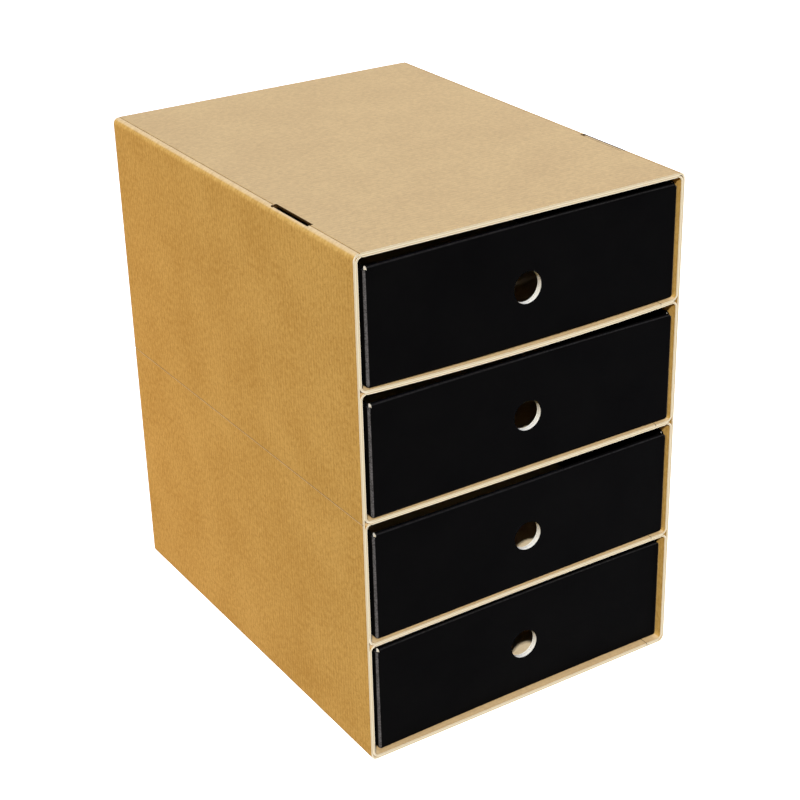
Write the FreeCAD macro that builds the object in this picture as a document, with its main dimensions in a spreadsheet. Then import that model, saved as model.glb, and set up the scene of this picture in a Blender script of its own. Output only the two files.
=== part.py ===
"""Desk chest of four drawers, folded from corrugated board.

A kraft sleeve is wrapped round a stack of four slide cells and closed by a
back cap. A black tray with a finger hole slides in each cell. Millimetres,
+Z up, +X to the right and -Y to the front. The origin lies under the middle
of the case, on the surface that it stands on.
"""
import FreeCAD, Part
import os
import Sketcher

DRAWER_COUNT = 4
same_place_share = 0.03
rim_limit_share = 0.45

# Driving dimensions: alias, millimetres, meaning
SIZES = [
    ("case_width", 250, "outer width of the sleeve"),
    ("case_depth", 328, "outer depth of the sleeve, front edge to back"),
    ("case_height", 358, "outer height of the sleeve"),
    ("case_board", 1.5, "thickness of the kraft board"),
    ("sleeve_fold", 4.5, "outer radius of the sleeve's folds"),
    ("cell_fold", 4.5, "outer radius of the cells' folds"),
    ("crease_radius", 0.45, "half-round groove of a pressed crease"),
    ("seam_gap", 0.4, "gap where the two ends of a wrapped sheet meet"),
    ("seam_inset", 14, "from the right-hand face to that seam"),
    ("slot_start", 56.5, "from the front edge to the lock slots in the top"),
    ("slot_length", 45, "length of a lock slot"),
    ("slot_width", 4.4, "width of a lock slot"),
    ("tab_height", 0.3, "how far a lock tab stands up into its slot"),
    ("tab_slack", 1, "room at each end of a lock tab"),
    ("window_reach", 2.5, "how far a tab's window reaches inwards past its slot"),
    ("cap_flange", 18, "depth of the back cap's tucked flanges"),
    ("cap_fold", 1.8, "outer radius of the back cap's folds"),
    ("cap_slit", 1.8, "gap between two flanges at a corner of the cap"),
    ("side_clearance", 2.75, "between a tray and its cell, each side"),
    ("side_shift", 2.2, "how far the trays stand to the right"),
    ("head_clearance", 6, "between a tray's rim and the cell above it"),
    ("seat_gap", 0.3, "between a tray and the floor that it slides on"),
    ("front_recess", 5, "from the case's front edge back to a drawer pushed home"),
    ("drawer_1_ajar", 0, "how far the lowest drawer stands out from home"),
    ("drawer_2_ajar", 3.4, "the same for the second drawer"),
    ("drawer_3_ajar", 3.8, "the same for the third drawer"),
    ("drawer_4_ajar", 3, "the same for the top drawer"),
    ("back_gap", 0.3, "between a tray pushed home and the back cap"),
    ("tray_board", 1.3, "thickness of the black board"),
    ("tray_fold", 2.5, "outer radius of a tray's folds"),
    ("rim_fold", 1.7, "radius along the top of the rolled-over front"),
    ("core_board", 1.1, "thickness of the stiffener inside the front"),
    ("ply_gap", 0.1, "between two plies of the front"),
    ("flap_slit", 0.25, "cut that frees the inner ply of the front"),
    ("corner_relief", 2.2, "notch at each end of the rolled-over front"),
    ("hole_diameter", 21, "finger hole"),
    ("hole_height", 37.7, "from a tray's underside to the hole's centre"),
    ("tuck_length", 34, "corner flaps glued inside a tray's back"),
    ("tuck_drop", 4, "from a tray's rim down to those flaps"),
]

# Sizes that follow from the driving ones
CASE_FRONT = "-sizes.case_depth / 2"
CELL_WIDTH = "(sizes.case_width - 2 * sizes.case_board)"
CELL_HEIGHT = f"((sizes.case_height - 2 * sizes.case_board) / {DRAWER_COUNT})"
CAP_DEPTH = "(sizes.cap_flange + sizes.case_board)"
CELL_DEPTH = f"(sizes.case_depth - {CAP_DEPTH})"
WALL_PLANE = "(sizes.case_width / 2 - sizes.case_board)"
TRAY_WIDTH = f"({CELL_WIDTH} - 2 * sizes.case_board - 2 * sizes.side_clearance)"
TRAY_HEIGHT = f"({CELL_HEIGHT} - 2 * sizes.case_board - sizes.head_clearance - sizes.seat_gap)"
TRAY_DEPTH = "(sizes.case_depth - sizes.case_board - sizes.front_recess - sizes.back_gap)"
CORE_ROOM = "(sizes.core_board + 2 * sizes.ply_gap)"
FRONT_THICKNESS = f"(2 * sizes.tray_board + {CORE_ROOM})"
TRAY_INNER = f"({TRAY_WIDTH} / 2 - sizes.tray_board)"

doc = FreeCAD.newDocument("drawer_chest")
sheet = doc.addObject("Spreadsheet::Sheet", "sizes")
for row, (alias, number, meaning) in enumerate(SIZES, start=1):
    sheet.set(f"A{row}", alias)
    sheet.set(f"B{row}", str(number))
    sheet.set(f"C{row}", meaning)
    sheet.setAlias(f"B{row}", alias)
doc.recompute()


def value(expression):
    """Today's number of an expression that is written in the sheet's sizes."""
    number = sheet.evalExpression(expression)
    return float(getattr(number, "Value", number))


def new_body(label):
    body = doc.addObject("PartDesign::Body", label)
    body.Label = label
    return body


def new_sketch(body, name, role, offset="0"):
    """Sketch on one of the body's own planes, moved along the plane's normal.

    XY_Plane looks up. XZ_Plane looks to the front, so its offset grows to -Y.
    """
    sketch = body.newObject("Sketcher::SketchObject", name)
    plane = next(item for item in body.Origin.OriginFeatures if item.Role == role)
    sketch.AttachmentSupport = [(plane, "")]
    sketch.MapMode = "FlatFace"
    sketch.setExpression("AttachmentOffset.Base.z", offset)
    return sketch


def hold(sketch, kind, geometry, point, expression):
    """Ties a point's distance from the sketch's origin to an expression."""
    tie = Sketcher.Constraint(kind, -1, 1, geometry, point, value(expression))
    number = sketch.addConstraint(tie)
    sketch.setExpression(f"Constraints[{number}]", expression)


def rectangle(sketch, left, right, low, high):
    x_low, x_high, y_low, y_high = (value(side) for side in (left, right, low, high))
    corners = [(x_low, y_low), (x_high, y_low), (x_high, y_high), (x_low, y_high)]
    points = [FreeCAD.Vector(x, y, 0) for x, y in corners]
    first = sketch.GeometryCount
    for start, end in zip(points, points[1:] + points[:1]):
        sketch.addGeometry(Part.LineSegment(start, end), False)
    for side in range(len(points)):
        following = (side + 1) % len(points)
        joint = Sketcher.Constraint("Coincident", first + side, 2, first + following, 1)
        sketch.addConstraint(joint)
        way = "Vertical" if side % 2 else "Horizontal"
        sketch.addConstraint(Sketcher.Constraint(way, first + side))
    hold(sketch, "DistanceX", first, 1, left)
    hold(sketch, "DistanceX", first, 2, right)
    hold(sketch, "DistanceY", first, 1, low)
    hold(sketch, "DistanceY", first + 2, 1, high)


def circle(sketch, across, up, radius):
    centre = FreeCAD.Vector(value(across), value(up), 0)
    up_axis = FreeCAD.Vector(0, 0, 1)
    first = sketch.addGeometry(Part.Circle(centre, up_axis, value(radius)), False)
    hold(sketch, "DistanceX", first, 3, across)
    hold(sketch, "DistanceY", first, 3, up)
    number = sketch.addConstraint(Sketcher.Constraint("Radius", first, value(radius)))
    sketch.setExpression(f"Constraints[{number}]", radius)


def pad(body, name, sketch, length, against_normal=False):
    feature = body.newObject("PartDesign::Pad", name)
    feature.Profile = sketch
    feature.setExpression("Length", length)
    feature.Reversed = against_normal
    doc.recompute()


def pocket(body, name, sketch, length, along_normal=False):
    """Cuts against the sketch's normal, and stops if nothing was cut."""
    before = body.Shape.Volume
    feature = body.newObject("PartDesign::Pocket", name)
    feature.Profile = sketch
    feature.setExpression("Length", length)
    feature.Reversed = along_normal
    doc.recompute()
    if not body.Shape.Volume < before:
        raise RuntimeError(f"{body.Label}: {name} cut nothing")


def fillet(body, name, radius, most, chosen):
    """Rounds the edges whose middle and direction the test accepts, up to the most it can."""
    base = body.Tip
    names = []
    for number, edge in enumerate(base.Shape.Edges, start=1):
        first, last = edge.Vertexes[0].Point, edge.Vertexes[-1].Point
        if len(edge.Vertexes) == 2 and chosen((first + last) / 2, last - first):
            names.append(f"Edge{number}")
    feature = body.newObject("PartDesign::Fillet", name)
    feature.Base = (base, names)
    feature.setExpression("Radius", f"min({radius}; {most})")
    doc.recompute()


def near(first, second):
    """True where two places lie within a small share of the board of each other."""
    return abs(first - second) < same_place_share * value("sizes.case_board")


def runs_along(direction, axis):
    """True where a direction has no part across the named axis."""
    across = [size for name, size in zip("xyz", direction) if name != axis]
    return near(across[0], 0) and near(across[1], 0)


def wrapped_tube(body, half_width, height, depth, fold):
    """A sheet folded round as a tube from the case's front edge backwards."""
    section = new_sketch(body, f"{body.Name}_section", "XZ_Plane", f"-({CASE_FRONT})")
    board = "sizes.case_board"
    rectangle(section, f"-{half_width}", half_width, "0", height)
    rectangle(section, f"-{half_width} + {board}", f"{half_width} - {board}", board, f"{height} - {board}")
    pad(body, f"{body.Name}_sheet", section, depth, against_normal=True)
    half, top, thick = value(half_width), value(height), value(board)

    def fold_corner(inset):
        """Picks the tube's corners that lie this far inside its outer faces."""
        def chosen(middle, direction):
            at_side = near(abs(middle.x), half - inset)
            at_level = near(middle.z, inset) or near(middle.z, top - inset)
            return runs_along(direction, "y") and at_side and at_level
        return chosen

    fillet(body, f"{body.Name}_inner_folds", f"{fold} - {board}", f"{height} / 4", fold_corner(thick))
    fillet(body, f"{body.Name}_folds", fold, f"{height} / 4 + {board}", fold_corner(0))
    seam = new_sketch(body, f"{body.Name}_seam_line", "XZ_Plane", f"-({CASE_FRONT})")
    seam_right = f"{half_width} - sizes.seam_inset"
    rectangle(seam, f"{seam_right} - sizes.seam_gap", seam_right, "0", board)
    pocket(body, f"{body.Name}_seam", seam, depth)


def creases(body, name, depth, places):
    """Half-round grooves from the front edge backwards, one at each place."""
    lines = new_sketch(body, f"{body.Name}_{name}_lines", "XZ_Plane", f"-({CASE_FRONT})")
    for across, up in places:
        circle(lines, across, up, "sizes.crease_radius")
    pocket(body, f"{body.Name}_{name}", lines, depth)


# The outer sleeve: one kraft sheet round the top, the sides and the bottom. A pressed crease runs
# where each upper fold begins, and a score at half height lets the sides fold flat for the post.
# Near the front, a slot along each of those creases takes a lock tab of the top cell.
half_case = "sizes.case_width / 2"
sleeve = new_body("outer_sleeve")
wrapped_tube(sleeve, half_case, "sizes.case_height", "sizes.case_depth", "sizes.sleeve_fold")
crease_line = f"({half_case} - sizes.sleeve_fold)"
top_creases = [(f"-{crease_line}", "sizes.case_height"), (crease_line, "sizes.case_height")]
side_scores = [(f"-{half_case}", "sizes.case_height / 2"), (half_case, "sizes.case_height / 2")]
creases(sleeve, "creases", "sizes.case_depth", top_creases + side_scores)
slot_front = f"({CASE_FRONT} + sizes.slot_start)"
slot_back = f"({slot_front} + sizes.slot_length)"
slot_outer = f"({crease_line} + sizes.slot_width / 2)"
slot_inner = f"({crease_line} - sizes.slot_width / 2)"
slots = new_sketch(sleeve, "lock_slot_outlines", "XY_Plane", "sizes.case_height")
rectangle(slots, f"-{slot_outer}", f"-{slot_inner}", slot_front, slot_back)
rectangle(slots, slot_inner, slot_outer, slot_front, slot_back)
pocket(sleeve, "lock_slots", slots, "sizes.sleeve_fold")

# The back cap: a panel with four flanges that are tucked into the sleeve behind the cells. Its
# corners follow the sleeve's folds, and slits there part the flanges, which carry on the line of
# the cells' walls.
cap = new_body("back_cap")
cap_front = f"(sizes.case_depth / 2 - {CAP_DEPTH})"
cap_low = "sizes.case_board"
cap_high = "sizes.case_height - sizes.case_board"
blank = new_sketch(cap, "cap_outline", "XZ_Plane", f"-{cap_front}")
rectangle(blank, f"-{WALL_PLANE}", WALL_PLANE, cap_low, cap_high)
pad(cap, "cap_block", blank, CAP_DEPTH, against_normal=True)
cap_corner = "sizes.sleeve_fold - sizes.case_board"
fillet(cap, "cap_sides", cap_corner, f"{CAP_DEPTH} / 4", lambda middle, way: runs_along(way, "y"))
cap_rear = value("sizes.case_depth / 2")
fillet(cap, "cap_folds", "sizes.cap_fold", "2 * sizes.case_board", lambda middle, way: near(middle.y, cap_rear))
hollow = new_sketch(cap, "cap_hollow_outline", "XZ_Plane", f"-{cap_front}")
cap_inner = f"({WALL_PLANE} - sizes.case_board)"
rectangle(hollow, f"-{cap_inner}", cap_inner, "2 * sizes.case_board", f"{cap_high} - sizes.case_board")
pocket(cap, "cap_hollow", hollow, "sizes.cap_flange")
corners = new_sketch(cap, "cap_corner_slits", "XZ_Plane", f"-{cap_front}")
slit_side = f"({cap_inner} - sizes.cap_slit)"
slit_low = "2 * sizes.case_board + sizes.cap_slit"
slit_high = f"{cap_high} - sizes.case_board - sizes.cap_slit"
for outer, inner in ((f"-{WALL_PLANE}", f"-{slit_side}"), (slit_side, WALL_PLANE)):
    rectangle(corners, outer, inner, cap_low, slit_low)
    rectangle(corners, outer, inner, slit_high, cap_high)
pocket(cap, "cap_corners", corners, "sizes.cap_flange - sizes.cap_fold")


def slide_cell(number):
    """A kraft tube that one drawer slides in. The cells stand on each other."""
    cell = new_body(f"cell_{number}")
    wrapped_tube(cell, WALL_PLANE, CELL_HEIGHT, CELL_DEPTH, "sizes.cell_fold")
    fold_line = f"({WALL_PLANE} - sizes.cell_fold)"
    roof = f"({CELL_HEIGHT} - sizes.case_board)"
    creases(cell, "creases", CELL_DEPTH, [(f"-{fold_line}", roof), (fold_line, roof)])
    cell.setExpression("Placement.Base.z", f"sizes.case_board + {number - 1} * {CELL_HEIGHT}")
    return cell


def lock_tabs(cell):
    """Tabs cut out of the roof stand upright on its folds and leave windows beside them."""
    windows = new_sketch(cell, "lock_window_outlines", "XY_Plane", CELL_HEIGHT)
    tab_inner = f"({slot_outer} - sizes.case_board)"
    window_inner = f"({slot_inner} - sizes.window_reach)"
    rectangle(windows, f"-{tab_inner}", f"-{window_inner}", slot_front, slot_back)
    rectangle(windows, window_inner, tab_inner, slot_front, slot_back)
    pocket(cell, "lock_windows", windows, "sizes.cell_fold")
    tab_root = "sizes.cell_fold / 2"
    tabs = new_sketch(cell, "lock_tab_outlines", "XY_Plane", f"{CELL_HEIGHT} - {tab_root}")
    tab_front = f"({slot_front} + sizes.tab_slack)"
    tab_back = f"({slot_back} - sizes.tab_slack)"
    rectangle(tabs, f"-{slot_outer}", f"-{tab_inner}", tab_front, tab_back)
    rectangle(tabs, tab_inner, slot_outer, tab_front, tab_back)
    pad(cell, "lock_tabs", tabs, f"{tab_root} + sizes.tab_height")


# The slide cells, numbered from the bottom
cells = [slide_cell(number) for number in range(1, DRAWER_COUNT + 1)]
lock_tabs(cells[-1])


def place_in_cell(body, number):
    """Stands a drawer's piece on its cell's floor, as far out as the drawer stands ajar."""
    body.setExpression("Placement.Base.x", "sizes.side_shift")
    home = f"{CASE_FRONT} + sizes.front_recess"
    body.setExpression("Placement.Base.y", f"{home} - sizes.drawer_{number}_ajar")
    floor = f"2 * sizes.case_board + {number - 1} * {CELL_HEIGHT}"
    body.setExpression("Placement.Base.z", f"{floor} + sizes.seat_gap")


def finger_hole(body):
    """Through whatever ply of the front the body holds."""
    outline = new_sketch(body, f"{body.Name}_hole_outline", "XZ_Plane")
    circle(outline, "0", "sizes.hole_height", "sizes.hole_diameter / 2")
    pocket(body, f"{body.Name}_finger_hole", outline, FRONT_THICKNESS)


def tray(number):
    """One black sheet: floor, sides, back and a front that rolls over its stiffener.

    The front stands at y = 0, the tray reaches back from there and its
    underside is at z = 0.
    """
    body = new_body(f"drawer_{number}_tray")
    name = body.Name
    board = "sizes.tray_board"
    half = f"{TRAY_WIDTH} / 2"
    outline = new_sketch(body, f"{name}_outline", "XY_Plane")
    rectangle(outline, f"-{half}", half, "0", TRAY_DEPTH)
    pad(body, f"{name}_block", outline, TRAY_HEIGHT)
    top = value(TRAY_HEIGHT)

    def folded_edge(middle, way):
        return near(middle.z, 0) or near(middle.z, top / 2)

    fillet(body, f"{name}_folds", "sizes.tray_fold", f"2 * {board}", folded_edge)

    room = new_sketch(body, f"{name}_room_outline", "XY_Plane", TRAY_HEIGHT)
    rectangle(room, f"-{TRAY_INNER}", TRAY_INNER, FRONT_THICKNESS, f"{TRAY_DEPTH} - {board}")
    pocket(body, f"{name}_room", room, f"{TRAY_HEIGHT} - {board}")

    core_room = new_sketch(body, f"{name}_core_room_outline", "XY_Plane", board)
    inner_ply = f"({board} + {CORE_ROOM})"
    rectangle(core_room, f"-{TRAY_INNER}", TRAY_INNER, board, inner_ply)
    pocket(body, f"{name}_core_room", core_room, f"{TRAY_HEIGHT} - 2 * {board}", along_normal=True)

    foot = new_sketch(body, f"{name}_foot_slit_outline", "XY_Plane", board)
    rectangle(foot, f"-{TRAY_INNER}", TRAY_INNER, inner_ply, FRONT_THICKNESS)
    pocket(body, f"{name}_foot_slit", foot, "sizes.flap_slit", along_normal=True)

    ends = new_sketch(body, f"{name}_end_slit_outline", "XY_Plane", board)
    slit_edge = f"({TRAY_INNER} - sizes.flap_slit)"
    rectangle(ends, f"-{TRAY_INNER}", f"-{slit_edge}", board, FRONT_THICKNESS)
    rectangle(ends, slit_edge, TRAY_INNER, board, FRONT_THICKNESS)
    pocket(body, f"{name}_end_slits", ends, TRAY_HEIGHT, along_normal=True)

    relief = new_sketch(body, f"{name}_relief_outline", "XY_Plane", TRAY_HEIGHT)
    relief_edge = f"({half} - sizes.corner_relief)"
    rectangle(relief, f"-{half}", f"-{relief_edge}", "0", FRONT_THICKNESS)
    rectangle(relief, relief_edge, half, "0", FRONT_THICKNESS)
    pocket(body, f"{name}_relief", relief, "sizes.corner_relief")

    thick = value(FRONT_THICKNESS)

    def rim_edge(middle, way):
        at_rim = near(middle.y, 0) or near(middle.y, thick)
        return at_rim and near(middle.z, top) and runs_along(way, "x")

    fillet(body, f"{name}_rolled_rim", "sizes.rim_fold", f"{rim_limit_share} * {FRONT_THICKNESS}", rim_edge)

    tucks = new_sketch(body, f"{name}_tuck_outline", "XY_Plane", board)
    tuck_front = f"{TRAY_DEPTH} - 2 * {board}"
    tuck_back = f"{TRAY_DEPTH} - {board}"
    tuck_end = f"({TRAY_INNER} - sizes.tuck_length)"
    rectangle(tucks, f"-{TRAY_INNER}", f"-{tuck_end}", tuck_front, tuck_back)
    rectangle(tucks, tuck_end, TRAY_INNER, tuck_front, tuck_back)
    pad(body, f"{name}_tucks", tucks, f"{TRAY_HEIGHT} - {board} - sizes.tuck_drop")

    finger_hole(body)
    place_in_cell(body, number)


def front_core(number):
    """The stiffener that the tray's front is rolled over."""
    body = new_body(f"drawer_{number}_front_core")
    half = f"({TRAY_INNER} - sizes.flap_slit)"
    outline = new_sketch(body, f"{body.Name}_outline", "XY_Plane", "sizes.tray_board + sizes.ply_gap")
    core_front = "sizes.tray_board + sizes.ply_gap"
    rectangle(outline, f"-{half}", half, core_front, f"{core_front} + sizes.core_board")
    core_height = f"{TRAY_HEIGHT} - 2 * sizes.tray_board - 2 * sizes.ply_gap"
    pad(body, f"{body.Name}_board", outline, core_height)
    finger_hole(body)
    place_in_cell(body, number)


# The drawers, numbered from the bottom
for number in range(1, DRAWER_COUNT + 1):
    tray(number)
    front_core(number)

doc.recompute()
for item in doc.Objects:
    if "Invalid" in item.State or "Error" in item.State:
        raise RuntimeError(f"{item.Label} did not build: {item.State}")
pieces = [item for item in doc.Objects if item.TypeId == "PartDesign::Body"]
for piece in pieces:
    if piece.Shape.isNull() or not piece.Shape.isValid():
        raise RuntimeError(f"{piece.Label} has no valid shape")
os.makedirs("parts", exist_ok=True)
for piece in pieces:
    piece.Shape.exportStep(f"parts/{piece.Label}.step")
    box = piece.Shape.BoundBox
    print(f"{piece.Label}: {len(piece.Shape.Solids)} solid, {piece.Shape.Volume / 1000:.1f} cm3,"
          f" x {box.XMin:.1f} {box.XMax:.1f}, y {box.YMin:.1f} {box.YMax:.1f}, z {box.ZMin:.1f} {box.ZMax:.1f}")
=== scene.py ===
"""Desk chest of four drawers, folded from kraft board, with black drawers."""
import math
import bmesh
import bpy
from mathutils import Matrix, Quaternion, Vector


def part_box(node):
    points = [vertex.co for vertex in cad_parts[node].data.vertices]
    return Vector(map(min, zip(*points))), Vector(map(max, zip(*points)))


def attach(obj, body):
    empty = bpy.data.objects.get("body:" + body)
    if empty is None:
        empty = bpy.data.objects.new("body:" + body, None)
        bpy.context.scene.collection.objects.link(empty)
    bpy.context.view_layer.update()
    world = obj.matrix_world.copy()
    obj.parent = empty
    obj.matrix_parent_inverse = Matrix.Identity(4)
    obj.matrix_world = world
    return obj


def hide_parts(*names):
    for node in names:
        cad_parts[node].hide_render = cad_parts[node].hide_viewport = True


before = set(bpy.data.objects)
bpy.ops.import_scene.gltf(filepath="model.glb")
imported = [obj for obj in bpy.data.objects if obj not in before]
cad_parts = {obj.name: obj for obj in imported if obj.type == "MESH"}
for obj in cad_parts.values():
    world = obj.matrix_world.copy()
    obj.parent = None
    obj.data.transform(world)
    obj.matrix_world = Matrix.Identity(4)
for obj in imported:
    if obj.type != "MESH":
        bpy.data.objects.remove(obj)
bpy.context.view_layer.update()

# The outer sleeve is one sheet of fine-flute corrugated board. It is wrapped round the cells with
# soft folds, glued together underneath and held by two lock tabs near the front. Its liner is
# uncoated brown kraft: matt and cloudy, and the flutes inside show through it as faint ribs.
# What faces up is painted paler and greyer: painted light that stands in for the light on the top.
mm = 0.001
# Places and planes closer than these count as one. Past SQUARE_ON a face looks along an axis.
NEAR = 0.1 * mm
SAME_PLACE = 0.002 * mm
SAME_PLANE = math.radians(0.3)
SQUARE_ON = 0.7
BOARD = 1.5 * mm
SLEEVE_FOLD = 4.5 * mm
FOLD_EASE = 2.5 * mm
FLUTE_PITCH = 3.2 * mm
CLOUD = 45 * mm
FIBRE = 2.6 * mm
FIBRE_STRETCH = 0.75
FLECK = 1.1 * mm
RIB_DEPTH = 0.035 * mm
CLOUD_SHARE, FIBRE_SHARE, RIB_SHARE, TONE_SHIFT = 0.3, 0.75, 0.08, -0.06
TONE_BROWN, TONE_PALE = 0.36, 0.64
FLECK_START, FLECK_FULL, FLECK_SHARE = 0.56, 0.74, 0.6
SHARP_FOLD = math.radians(32)
# Painted highlight on the folds: how far round the arc it reaches and how strong it is.
HIGHLIGHT_ARC = math.radians(42)
FOLD_HIGHLIGHT_SHARE = 0.55
CREASE_TOP, CREASE_FLOOR, SLOT_FLOOR = 0.1, 0.35, 0.95
# The last kraft colour is the painted highlight on the fold bands.
KRAFT_PALE, KRAFT_BROWN, KRAFT_FLECK, KRAFT_HIGHLIGHT = "#D5B168", "#BC954E", "#966E32", "#EBD4AA"
# Painted light: upward faces are mixed towards this paler grey, which stands in for the light on the top.
LIT_TOP_PALE, LIT_TOP_SHARE, LIT_TOP_FROM = "#D5C3AC", 0.35, 0.6
# A pressed crease, darkened partly by the pressing and partly with painted shade in its groove.
CREASE_SHADE_PALE, CREASE_SHADE_BROWN = "#A88A5A", "#8F7040"
# Painted shade: slot and seam walls are coloured dark so that they read as shadowed lines.
SLOT_SHADE_BROWN, SLOT_SHADE_DARK = "#4A3316", "#33220D"
CUT_PALE, CUT_CORE = "#F4EEDE", "#DFD6BA"
TORN_SHARE, TEAR_DEPTH = 0.3, 0.2 * mm
CORE_REACH, LINER_START = 0.18, 0.36


def linear(code):
    """An sRGB hex colour as linear red, green, blue and alpha."""
    shares = [int(code[place:place + 2], 16) / 255 for place in (1, 3, 5)]
    return [s / 12.92 if s <= 0.04045 else ((s + 0.055) / 1.055) ** 2.4 for s in shares] + [1]


def add(tree, kind, settings=None, **inputs):
    """Adds a shader node. An input is a value, or an output to link from. A name such as _2 is
    the number of the socket, where several sockets share a name."""
    node = tree.nodes.new(kind)
    for name, setting in (settings or {}).items():
        setattr(node, name, setting)
    for name, given in inputs.items():
        key = int(name[1:]) if name[0] == "_" else name.replace("_", " ")
        if isinstance(given, bpy.types.NodeSocket):
            tree.links.new(given, node.inputs[key])
        else:
            node.inputs[key].default_value = given
    return node


def new_material(name):
    """A material that has only its main shader. Returns it, its tree and that shader."""
    material = bpy.data.materials.new(name)
    material.use_nodes = True
    tree = material.node_tree
    return material, tree, tree.nodes["Principled BSDF"]


def liner_paper(name, pale, brown, fleck, highlight):
    """Uncoated liner: cloudy, fibrous and faintly ribbed, with painted light: paler above for the lit top,
    and a painted highlight along the folds.
    """
    paper, tree, shader = new_material(name)
    place = add(tree, "ShaderNodeTexCoord").outputs["Object"]
    clouds = add(tree, "ShaderNodeTexNoise", Vector=place, Scale=1 / CLOUD, Detail=3.0, Roughness=0.5)
    drawn = add(tree, "ShaderNodeMapping", Vector=place, Scale=(FIBRE_STRETCH, 1, FIBRE_STRETCH)).outputs[0]
    fibres = add(tree, "ShaderNodeTexNoise", Vector=drawn, Scale=1 / FIBRE, Detail=6.0, Roughness=0.62)
    specks = add(tree, "ShaderNodeTexNoise", Vector=place, Scale=1 / FLECK, Detail=3.0, Roughness=0.6)
    ribs = add(tree, "ShaderNodeTexWave", {"bands_direction": "Y"}, Vector=place,
               Scale=math.pi / (10 * FLUTE_PITCH), Distortion=0.6, Detail=1.0, Detail_Scale=0.4)
    cloudy = add(tree, "ShaderNodeMath", {"operation": "MULTIPLY_ADD"},
                 _0=clouds.outputs["Fac"], _1=CLOUD_SHARE, _2=TONE_SHIFT)
    fibrous = add(tree, "ShaderNodeMath", {"operation": "MULTIPLY_ADD"},
                  _0=fibres.outputs["Fac"], _1=FIBRE_SHARE, _2=cloudy.outputs[0])
    ribbed = add(tree, "ShaderNodeMath", {"operation": "MULTIPLY_ADD"},
                 _0=ribs.outputs["Fac"], _1=RIB_SHARE, _2=fibrous.outputs[0])
    tone = add(tree, "ShaderNodeMapRange", _0=ribbed.outputs[0], _1=TONE_BROWN, _2=TONE_PALE)
    body = add(tree, "ShaderNodeMix", {"data_type": "RGBA"},
               _0=tone.outputs[0], _6=linear(brown), _7=linear(pale))
    speckle = add(tree, "ShaderNodeMapRange",
                  _0=specks.outputs["Fac"], _1=FLECK_START, _2=FLECK_FULL, _4=FLECK_SHARE)
    flecked = add(tree, "ShaderNodeMix", {"data_type": "RGBA"},
                  _0=speckle.outputs[0], _6=body.outputs[2], _7=linear(fleck))
    facing = add(tree, "ShaderNodeSeparateXYZ", Vector=add(tree, "ShaderNodeTexCoord").outputs["Normal"])
    # Faces that look up turn paler and greyer: painted light.
    lit_from_above = add(tree, "ShaderNodeMapRange", _0=facing.outputs["Z"], _1=LIT_TOP_FROM, _4=LIT_TOP_SHARE)
    painted_top_light = add(tree, "ShaderNodeMix", {"data_type": "RGBA"},
                _0=lit_from_above.outputs[0], _6=flecked.outputs[2], _7=linear(LIT_TOP_PALE))
    # The folds are mixed towards a paler colour: a painted highlight.
    fold = add(tree, "ShaderNodeAttribute", {"attribute_name": "fold_highlight"})
    patchy = add(tree, "ShaderNodeMapRange", _0=fibres.outputs["Fac"], _1=0.25, _2=0.75, _3=0.35)
    highlighted = add(tree, "ShaderNodeMath", {"operation": "MULTIPLY"},
               _0=fold.outputs["Fac"], _1=patchy.outputs[0])
    colour = add(tree, "ShaderNodeMix", {"data_type": "RGBA"},
                 _0=highlighted.outputs[0], _6=painted_top_light.outputs[2], _7=linear(highlight))
    tree.links.new(colour.outputs[2], shader.inputs["Base Color"])
    rise = add(tree, "ShaderNodeMath", {"operation": "MULTIPLY_ADD"},
               _0=specks.outputs["Fac"], _1=0.5, _2=ribs.outputs["Fac"])
    bump = add(tree, "ShaderNodeBump", Strength=1.0, Distance=RIB_DEPTH, Height=rise.outputs[0])
    tree.links.new(bump.outputs["Normal"], shader.inputs["Normal"])
    shader.inputs["Roughness"].default_value = 0.8
    shader.inputs["IOR"].default_value = 1.45
    shader.inputs["Specular IOR Level"].default_value = 0.05
    return paper


def cut_board(name, pale, core):
    """A knife-cut edge: two pale liners with the fluted middle between them, a little torn."""
    edge, tree, shader = new_material(name)
    place = add(tree, "ShaderNodeTexCoord").outputs["Object"]
    torn = add(tree, "ShaderNodeTexNoise", Vector=place, Scale=1 / FLECK, Detail=4.0, Roughness=0.7)
    ply = add(tree, "ShaderNodeAttribute", {"attribute_name": "ply"})
    rough_ply = add(tree, "ShaderNodeMath", {"operation": "MULTIPLY_ADD"},
                    _0=torn.outputs["Fac"], _1=TORN_SHARE, _2=ply.outputs["Fac"])
    from_middle = add(tree, "ShaderNodeMath", {"operation": "SUBTRACT"},
                      _0=rough_ply.outputs[0], _1=0.5 + TORN_SHARE / 2)
    out = add(tree, "ShaderNodeMath", {"operation": "ABSOLUTE"}, _0=from_middle.outputs[0])
    liner = add(tree, "ShaderNodeMapRange", _0=out.outputs[0], _1=CORE_REACH, _2=LINER_START)
    colour = add(tree, "ShaderNodeMix", {"data_type": "RGBA"},
                 _0=liner.outputs[0], _6=linear(core), _7=linear(pale))
    tree.links.new(colour.outputs[2], shader.inputs["Base Color"])
    bump = add(tree, "ShaderNodeBump", Strength=0.6, Distance=TEAR_DEPTH, Height=liner.outputs[0])
    tree.links.new(bump.outputs["Normal"], shader.inputs["Normal"])
    shader.inputs["Roughness"].default_value = 0.9
    shader.inputs["Specular IOR Level"].default_value = 0.1
    return edge


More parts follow.
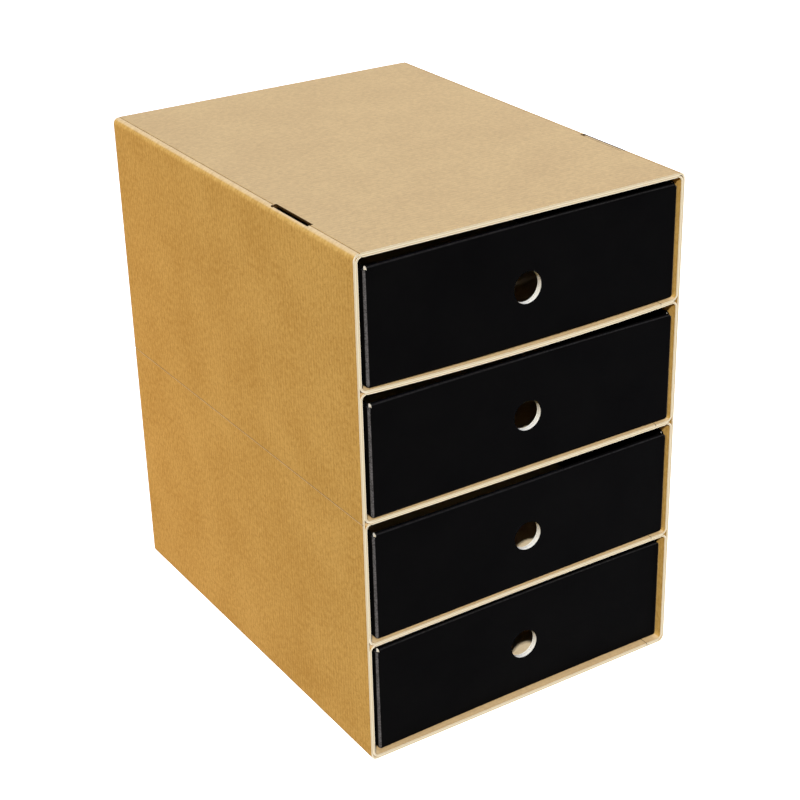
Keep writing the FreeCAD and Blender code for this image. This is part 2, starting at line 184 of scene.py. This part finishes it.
def fresh_sheet(name, **cuts):
    """A folded sheet's mesh, made anew in strips that are narrow enough to bend."""
    built = bmesh.new()
    built.from_mesh(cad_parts[name].data)
    bmesh.ops.remove_doubles(built, verts=built.verts, dist=SAME_PLACE)
    bmesh.ops.dissolve_limit(built, angle_limit=SAME_PLANE, verts=built.verts, edges=built.edges)
    for axis, places in cuts.items():
        across = Vector([float(axis == letter) for letter in "xyz"])
        for place in places:
            whole = built.verts[:] + built.edges[:] + built.faces[:]
            bmesh.ops.bisect_plane(built, geom=whole, plane_co=across * place, plane_no=across)
    built.normal_update()
    return built


def depth_in_tube(place, low, high, fold):
    """How far a place lies inside the outer face of a folded tube, seen from the front."""
    offset, half = place - (low + high) / 2, (high - low) / 2
    across = abs(offset.x) - half.x + fold
    up = abs(offset.z) - half.z + fold
    return fold - math.hypot(max(across, 0), max(up, 0)) - min(max(across, up), 0)


def mark_tube(built, low, high, fold):
    """Notes each point's depth in the board and its painted fold highlight, and each face's finish: 0 the
    liner,
    1 a cut edge at the front or back, 2 a pressed crease darkened partly with painted shade, 3 the wall of
    a slot or seam, coloured dark as painted shade."""
    ply = built.verts.layers.float.new("ply")
    fold_highlight = built.verts.layers.float.new("fold_highlight")
    middle, half = (low + high) / 2, (high - low) / 2
    for vertex in built.verts:
        vertex[ply] = depth_in_tube(vertex.co, low, high, fold) / BOARD
        across, up = (abs(vertex.co[way] - middle[way]) - half[way] + fold for way in (0, 2))
        in_fold = across > -NEAR and up > -NEAR
        # Points on the outer part of each fold carry a painted highlight.
        vertex[fold_highlight] = FOLD_HIGHLIGHT_SHARE * (in_fold and math.atan2(across, up) < HIGHLIGHT_ARC)
    for face in built.faces:
        centre = face.calc_center_median()
        depth = depth_in_tube(centre, low, high, fold) / BOARD
        across_board = abs(face.normal.y) > SQUARE_ON
        at_end = not low.y + NEAR < centre.y < high.y - NEAR
        if across_board and at_end:
            face.material_index = 1
        # Faces across the board inside it, and the walls of slots and seams, get the dark colour of painted
        # shade.
        elif across_board or CREASE_FLOOR < depth < SLOT_FLOOR:
            face.material_index = 3
        # Faces in the crease groove get the darker crease colour, partly painted shade.
        elif CREASE_TOP < depth < CREASE_FLOOR:
            face.material_index = 2


def stand_in(built, name, body, materials):
    """Puts a finished sheet in place of its node. It rides on the node's body."""
    for face in built.faces:
        face.smooth = True
    for edge in built.edges:
        faces = edge.link_faces
        alike = len(faces) == 2 and faces[0].material_index == faces[1].material_index
        edge.smooth = alike and edge.calc_face_angle(math.pi) < SHARP_FOLD
    mesh = bpy.data.meshes.new(f"{name}_board")
    built.to_mesh(mesh)
    built.free()
    for material in materials:
        mesh.materials.append(material)
    piece = bpy.data.objects.new(f"{name}_board", mesh)
    bpy.context.scene.collection.objects.link(piece)
    even = piece.modifiers.new("even_shading", "WEIGHTED_NORMAL")
    even.keep_sharp = True
    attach(piece, body)
    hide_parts(name)


# Besides its cloudy liner the board shows three finishes: pale cut edges with the fluted middle, the
# greyer line of a pressed crease, darkened partly with painted shade, and slot and seam walls in
# painted shade, coloured dark so that they read as lines.
kraft = liner_paper("uncoated_kraft_liner", KRAFT_PALE, KRAFT_BROWN, KRAFT_FLECK, KRAFT_HIGHLIGHT)
cut_kraft = cut_board("knife_cut_kraft_board", CUT_PALE, CUT_CORE)
# The crease colour is partly painted shade.
shaded_crease = liner_paper("pressed_crease_with_painted_shade", CREASE_SHADE_PALE, CREASE_SHADE_BROWN, CREASE_SHADE_BROWN, CREASE_SHADE_PALE)
# The slot and seam walls are painted shade.
slot_shade = liner_paper("painted_shade_in_slot", SLOT_SHADE_BROWN, SLOT_SHADE_DARK, SLOT_SHADE_DARK, SLOT_SHADE_BROWN)
kraft_board = [kraft, cut_kraft, shaded_crease, slot_shade]
case_low, case_high = (Vector(corner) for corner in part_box("outer_sleeve"))
ease = SLEEVE_FOLD + FOLD_EASE
sleeve = fresh_sheet("outer_sleeve", x=[case_low.x + ease, case_high.x - ease],
                     z=[case_low.z + ease, case_high.z - ease])
mark_tube(sleeve, case_low, case_high, SLEEVE_FOLD)
stand_in(sleeve, "outer_sleeve", "case", kraft_board)

# The back cap closes the rear. It is a panel of the same board, whose four flanges are folded
# forwards and tucked into the sleeve behind the cells. Only the panel shows, liner side out.
cap_low, cap_high = (Vector(corner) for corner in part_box("back_cap"))
cap = fresh_sheet("back_cap", x=[cap_low.x + ease, cap_high.x - ease],
                  z=[cap_low.z + ease, cap_high.z - ease])
mark_tube(cap, cap_low, cap_high, SLEEVE_FOLD - BOARD)
for face in cap.faces:
    flange_end = face.normal.y < -SQUARE_ON and face.calc_center_median().y < cap_low.y + BOARD
    face.material_index = int(flange_end)
stand_in(cap, "back_cap", "case", kraft_board)

# The cells are four tubes of the same board that stand on each other and make the shelves. Their
# soft corners leave small dark gaps at the walls. The shelves have sagged a little in use: each
# line gives how far one has moved at its left end, middle and right end, at the front.
CELL_FOLD = 4.5 * mm
SHELF_LINES = [(0, 0, 0), (-1.3, 0.1, -0.2), (0.0, -0.3, 0.0), (0.9, -1.9, 1.1), (0, 0, 0)]
SAG_DEPTH = 230 * mm
BEND_STEP = 18 * mm


def along(line, share):
    """A curve through a line's left, middle and right value, in metres. The share is -1 to 1."""
    left, middle, right = line
    return mm * (middle + (right - left) / 2 * share + ((left + right) / 2 - middle) * share ** 2)


def steps(start, end, step):
    """Even places between two ends, about a step apart."""
    count = max(1, round((end - start) / step))
    return [start + (end - start) * number / count for number in range(1, count)]


first_low, first_high = (Vector(corner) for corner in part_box("cell_1"))
cell_height = first_high.z - first_low.z
for number in range(1, 5):
    name = f"cell_{number}"
    rise = Vector((0, 0, (number - 1) * cell_height))
    low, high = first_low + rise, first_high + rise
    ease = CELL_FOLD + FOLD_EASE
    ends = [low.x + ease, high.x - ease]
    cell = fresh_sheet(name, x=ends + steps(*ends, BEND_STEP), y=steps(low.y, high.y, 4 * BEND_STEP),
                       z=[low.z + ease, high.z - ease])
    mark_tube(cell, low, high, CELL_FOLD)
    for vertex in cell.verts:
        share = 2 * (vertex.co.x - low.x) / (high.x - low.x) - 1
        height = min(1, (vertex.co.z - low.z) / cell_height)
        fade = max(0, 1 - (vertex.co.y - low.y) / SAG_DEPTH)
        floor_sag, roof_sag = (along(SHELF_LINES[level], share) for level in (number - 1, number))
        vertex.co.z += fade * (floor_sag * (1 - height) + roof_sag * height)
    stand_in(cell, name, "case", kraft_board)

# The trays are folded from board that is printed black outside: a thin, slightly satin film on a
# white-cored sheet. The front is rolled over a stiffener and down again, and the walls are lined
# black inside as well, so only the floor shows the pale inner liner. The folds carry a painted
# highlight in grey. The white core shows at the finger hole and at the ends of the rolled-over front.
TRAY_FOLD = 2.5 * mm
RIM_FOLD = 1.7 * mm
TRAY_BOARD = 1.3 * mm
FRONT_THICKNESS = 3.9 * mm
CORNER_RELIEF = 2.2 * mm
HOLE_DIAMETER = 21 * mm
HOLE_HEIGHT = 37.7 * mm
FRONT_BEND = 90 * mm
# Painted highlight on the trays' folds: its share on the upright and top folds, and its grey.
UPRIGHT_HIGHLIGHT, RIM_HIGHLIGHT = 0.85, 0.12
PRINT_BLACK, PRINT_SOFT, PRINT_HIGHLIGHT = "#030304", "#0C0C0D", "#717176"
# The last inner liner colour is its painted fold highlight.
LINER_PALE, LINER_SHADE, LINER_FLECK, LINER_HIGHLIGHT = "#F2E4C6", "#E8D6B2", "#C8B088", "#F6ECD6"
WHITE_LINER, WHITE_CORE = "#F4F4EE", "#E8E7DF"
SATIN, MATT = 0.34, 0.48
FILM_RIPPLE = 0.012 * mm
# How each front stands, in mm at its left end, middle and right end. A push forwards is negative.
# The side lines have no middle value.
PUSH_LINES = {1: (-2.3, -0.6, -0.7), 2: (-0.1, -0.7, 0.5), 3: (-1.1, 0.3, 0.4), 4: (-1.9, 0.5, 0.4)}
RIM_LINES = {1: (-0.7, -0.2, -1.0), 2: (-2.9, -2.1, -2.3), 3: (-0.7, -0.8, -1.4), 4: (-0.7, 0.3, 1.1)}
SIDE_LINES = {1: (0.2, 0.3), 2: (0, 0), 3: (-0.9, 0), 4: (-1.0, 0.3)}
FOOT_LINES = {1: (0, 0, 0), 2: (-1.5, -0.15, -0.45), 3: (-0.25, -0.5, -0.25), 4: (0.6, -1.9, 0.8)}


def printed_liner(name):
    """Black print on board: even and satin, a little mottled, with a painted grey highlight on the folds.
    """
    print_film, tree, shader = new_material(name)
    place = add(tree, "ShaderNodeTexCoord").outputs["Object"]
    mottle = add(tree, "ShaderNodeTexNoise", Vector=place, Scale=1 / CLOUD, Detail=4.0, Roughness=0.6)
    grain = add(tree, "ShaderNodeTexNoise", Vector=place, Scale=1 / FLECK, Detail=5.0, Roughness=0.7)
    ribs = add(tree, "ShaderNodeTexWave", {"bands_direction": "X"}, Vector=place,
               Scale=math.pi / (10 * FLUTE_PITCH), Distortion=0.5, Detail=1.0, Detail_Scale=0.4)
    film = add(tree, "ShaderNodeMix", {"data_type": "RGBA"},
               _0=mottle.outputs["Fac"], _6=linear(PRINT_BLACK), _7=linear(PRINT_SOFT))
    # The folds are mixed towards grey: a painted highlight.
    fold = add(tree, "ShaderNodeAttribute", {"attribute_name": "fold_highlight"})
    patchy = add(tree, "ShaderNodeMapRange", _0=grain.outputs["Fac"], _1=0.3, _2=0.6)
    highlighted = add(tree, "ShaderNodeMath", {"operation": "MULTIPLY"},
               _0=fold.outputs["Fac"], _1=patchy.outputs[0])
    colour = add(tree, "ShaderNodeMix", {"data_type": "RGBA"},
                 _0=highlighted.outputs[0], _6=film.outputs[2], _7=linear(PRINT_HIGHLIGHT))
    tree.links.new(colour.outputs[2], shader.inputs["Base Color"])
    gloss = add(tree, "ShaderNodeMapRange", _0=mottle.outputs["Fac"], _3=SATIN, _4=MATT)
    tree.links.new(gloss.outputs[0], shader.inputs["Roughness"])
    rise = add(tree, "ShaderNodeMath", {"operation": "MULTIPLY_ADD"},
               _0=grain.outputs["Fac"], _1=0.4, _2=ribs.outputs["Fac"])
    bump = add(tree, "ShaderNodeBump", Strength=1.0, Distance=FILM_RIPPLE, Height=rise.outputs[0])
    tree.links.new(bump.outputs["Normal"], shader.inputs["Normal"])
    shader.inputs["IOR"].default_value = 1.45
    shader.inputs["Specular IOR Level"].default_value = 0.01
    return print_film


def settle(built, low, high, number):
    """Lets a drawer's front stand as it does after use, a little pushed, bent and lowered."""
    for vertex in built.verts:
        share = 2 * (vertex.co.x - low.x) / (high.x - low.x) - 1
        height = (vertex.co.z - low.z) / (high.z - low.z)
        fade = max(0, 1 - (vertex.co.y - low.y) / FRONT_BEND)
        rim, foot = along(RIM_LINES[number], share), along(FOOT_LINES[number], share)
        left, right = SIDE_LINES[number]
        vertex.co.x += fade * along((left, (left + right) / 2, right), share)
        vertex.co.y += fade * along(PUSH_LINES[number], share)
        vertex.co.z += fade * (rim * height + foot * (1 - height))


def tray_finish(face, low, high):
    """Which finish a face of a tray shows: 0 the print, 1 a cut edge, 2 the inner liner."""
    centre, normal = face.calc_center_median(), face.normal
    middle = (low.x + high.x) / 2
    inwards = high.x - middle - abs(centre.x - middle)
    behind, up, down = centre.y - low.y, centre.z - low.z, high.z - centre.z
    from_hole = math.hypot(centre.x - middle, up - HOLE_HEIGHT)
    in_front = behind < FRONT_THICKNESS + 2 * NEAR
    if in_front and from_hole < HOLE_DIAMETER / 2 + NEAR and abs(normal.y) < SQUARE_ON:
        return 1
    if in_front and inwards < CORNER_RELIEF + NEAR and down < CORNER_RELIEF + 2 * NEAR:
        return int(abs(normal.x) > SQUARE_ON and inwards > TRAY_BOARD)
    on_floor = normal.z > SQUARE_ON and up < 2 * TRAY_BOARD
    return 2 if on_floor and not in_front else 0


def mark_tray(built, low, high):
    """Notes each point's depth in the board and its painted fold highlight, and the finish of each face."""
    ply = built.verts.layers.float.new("ply")
    fold_highlight = built.verts.layers.float.new("fold_highlight")
    middle = (low.x + high.x) / 2
    for vertex in built.verts:
        inwards = high.x - middle - abs(vertex.co.x - middle)
        behind, up, down = vertex.co.y - low.y, vertex.co.z - low.z, high.z - vertex.co.z
        if math.hypot(vertex.co.x - middle, up - HOLE_HEIGHT) < HOLE_DIAMETER / 2 + NEAR:
            vertex[ply] = min(1, min(behind, FRONT_THICKNESS - behind) / TRAY_BOARD)
        else:
            vertex[ply] = min(1, min(inwards, behind, high.y - vertex.co.y) / TRAY_BOARD)
        upright_fold = inwards < 0.6 * TRAY_FOLD and behind < 0.6 * TRAY_FOLD
        rim_fold = down < 0.5 * RIM_FOLD and behind < 0.5 * RIM_FOLD
        # Points on the upright and top folds carry a painted highlight.
        vertex[fold_highlight] = max(upright_fold * UPRIGHT_HIGHLIGHT, rim_fold * RIM_HIGHLIGHT)
    for face in built.faces:
        face.material_index = tray_finish(face, low, high)


black_print = printed_liner("black_printed_liner")
white_cut = cut_board("knife_cut_white_cored_board", WHITE_LINER, WHITE_CORE)
inner_liner = liner_paper("pale_inner_liner", LINER_PALE, LINER_SHADE, LINER_FLECK, LINER_HIGHLIGHT)
for number in range(1, 5):
    name = f"drawer_{number}_tray"
    low, high = (Vector(corner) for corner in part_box(name))
    ease = TRAY_FOLD + FOLD_EASE
    ends = [low.x + ease, high.x - ease]
    tray = fresh_sheet(name, x=ends + steps(*ends, BEND_STEP),
                       y=[low.y + ease] + steps(low.y + ease, low.y + FRONT_BEND, 2 * BEND_STEP),
                       z=[low.z + ease, high.z - ease])
    mark_tray(tray, low, high)
    settle(tray, low, high, number)
    stand_in(tray, name, f"drawer_{number}", [black_print, white_cut, inner_liner])

# The stiffeners are strips of unprinted board. Each one is shut inside the rolled-over front of
# its tray, and only its cut edge shows, as a ring inside the finger hole.
for number in range(1, 5):
    name = f"drawer_{number}_front_core"
    low, high = (Vector(corner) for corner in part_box(f"drawer_{number}_tray"))
    core_low, core_high = (Vector(corner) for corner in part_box(name))
    core = fresh_sheet(name, x=steps(low.x, high.x, BEND_STEP))
    ply = core.verts.layers.float.new("ply")
    for vertex in core.verts:
        vertex[ply] = (vertex.co.y - core_low.y) / (core_high.y - core_low.y)
    for face in core.faces:
        face.material_index = int(abs(face.normal.y) < SQUARE_ON)
    settle(core, low, high, number)
    stand_in(core, name, f"drawer_{number}", [inner_liner, white_cut])

# The chest stands on a wide table top. The camera sees it white with the chest's soft shadow, and
# the light that it throws back on the chest is warm, as from pale wood.
FLOOR_REACH = 6.0
FLOOR_LIFT = 0.6
TABLE_WARM = "#9E8038"


def seen_directly(tree):
    """1 where the camera sees a surface, straight or mirrored, and 0 where it only throws light."""
    ray = add(tree, "ShaderNodeLightPath").outputs
    mirrored = add(tree, "ShaderNodeMath", {"operation": "MAXIMUM"},
                   _0=ray["Is Glossy Ray"], _1=ray["Is Transmission Ray"])
    return add(tree, "ShaderNodeMath", {"operation": "MAXIMUM"},
               _0=ray["Is Camera Ray"], _1=mirrored.outputs[0]).outputs[0]


floor_mesh = bpy.data.meshes.new("table_top")
built = bmesh.new()
bmesh.ops.create_grid(built, x_segments=1, y_segments=1, size=FLOOR_REACH)
built.to_mesh(floor_mesh)
built.free()
floor = bpy.data.objects.new("table_top", floor_mesh)
bpy.context.scene.collection.objects.link(floor)
table, tree, shader = new_material("table_top")
tree.nodes.remove(shader)
warm = add(tree, "ShaderNodeBsdfDiffuse", Color=linear(TABLE_WARM))
white = add(tree, "ShaderNodeBsdfDiffuse", Color=linear("#FFFFFF"))
lift = add(tree, "ShaderNodeEmission", Color=linear("#FFFFFF"), Strength=FLOOR_LIFT)
lit = add(tree, "ShaderNodeAddShader", _0=white.outputs[0], _1=lift.outputs[0])
either = add(tree, "ShaderNodeMixShader", _0=seen_directly(tree), _1=warm.outputs[0], _2=lit.outputs[0])
tree.links.new(either.outputs[0], tree.nodes["Material Output"].inputs["Surface"])
floor_mesh.materials.append(table)

# The studio lights the chest with a soft sky, cool above and dimmer and warmer towards the horizon.
# The camera and anything that mirrors see it plain white.
SKY_TOP, SKY_SIDE = "#AAC6FF", "#7C766C"
SKY_SIDE_END, SKY_TOP_START = 0.35, 0.9
SKY_STRENGTH = 0.9
world = bpy.data.worlds.new("studio")
bpy.context.scene.world = world
world.use_nodes = True
sky = world.node_tree
sky.nodes.clear()
way = add(sky, "ShaderNodeSeparateXYZ", Vector=add(sky, "ShaderNodeTexCoord").outputs["Generated"])
high_up = add(sky, "ShaderNodeMapRange", {"interpolation_type": "SMOOTHSTEP"},
              _0=way.outputs["Z"], _1=SKY_SIDE_END, _2=SKY_TOP_START)
tint = add(sky, "ShaderNodeMix", {"data_type": "RGBA"},
           _0=high_up.outputs[0], _6=linear(SKY_SIDE), _7=linear(SKY_TOP))
glow = add(sky, "ShaderNodeBackground", Color=tint.outputs[2], Strength=SKY_STRENGTH)
backdrop = add(sky, "ShaderNodeBackground", Color=linear("#FFFFFF"), Strength=1.0)
mixed = add(sky, "ShaderNodeMixShader", _0=seen_directly(sky), _1=glow.outputs[0], _2=backdrop.outputs[0])
add(sky, "ShaderNodeOutputWorld", Surface=mixed.outputs[0])

# The key lamp stands in front, 36 degrees to the left and 40 degrees up. Its light falls through
# the lower finger holes on the trays' floors. A warm lamp low down on the left fills that side, and
# a soft level light from behind on the right keeps the back and the far side from going dark.
def hang_lamp(name, kind, colour, direction, place=(0, 0, 0), **settings):
    """A lamp that shines from a direction. The settings are its own, such as its energy."""
    light = bpy.data.lights.new(name, kind)
    light.color = linear(colour)[:3]
    for setting, value in settings.items():
        setattr(light, setting, value)
    lamp = bpy.data.objects.new(name, light)
    bpy.context.scene.collection.objects.link(lamp)
    lamp.location = place
    lamp.rotation_mode = "QUATERNION"
    lamp.rotation_quaternion = Vector(direction).to_track_quat("Z", "Y")


hang_lamp("key_lamp", "SUN", "#FFF9EE", (-0.447, -0.622, 0.643), energy=3.6, angle=math.radians(2.5))
hang_lamp("warm_fill", "AREA", "#FFA858", (-0.8, 0.4, 0.0), place=(-0.62, 0.42, 0.06), energy=0.8, size=0.3)
hang_lamp("rear_fill", "SUN", "#FFF4E4", (0.66, 0.75, 0.04), energy=1.3, angle=math.radians(8))

# The camera is a short telephoto that looks down on the chest from the left of its front. Its
# place and angles were fitted to the corners of the case.
CAMERA_PLACE = Vector((-0.6124, -0.9928, 0.7337))
AZIMUTH, ELEVATION, ROLL = (math.radians(angle) for angle in (-33.4012, 25.8772, -0.8906))
camera_data = bpy.data.cameras.new("camera")
camera_data.lens = 80.66
camera_data.shift_x = -0.051
camera_data.shift_y = -0.00625
camera = bpy.data.objects.new("camera", camera_data)
bpy.context.scene.collection.objects.link(camera)
bpy.context.scene.camera = camera
back = Vector((math.sin(AZIMUTH) * math.cos(ELEVATION), -math.cos(AZIMUTH) * math.cos(ELEVATION),
               math.sin(ELEVATION)))
camera.location = CAMERA_PLACE
camera.rotation_mode = "QUATERNION"
camera.rotation_quaternion = (-back).to_track_quat("-Z", "Y") @ Quaternion((0, 0, 1), ROLL)
bpy.context.scene.view_settings.view_transform = "Standard"
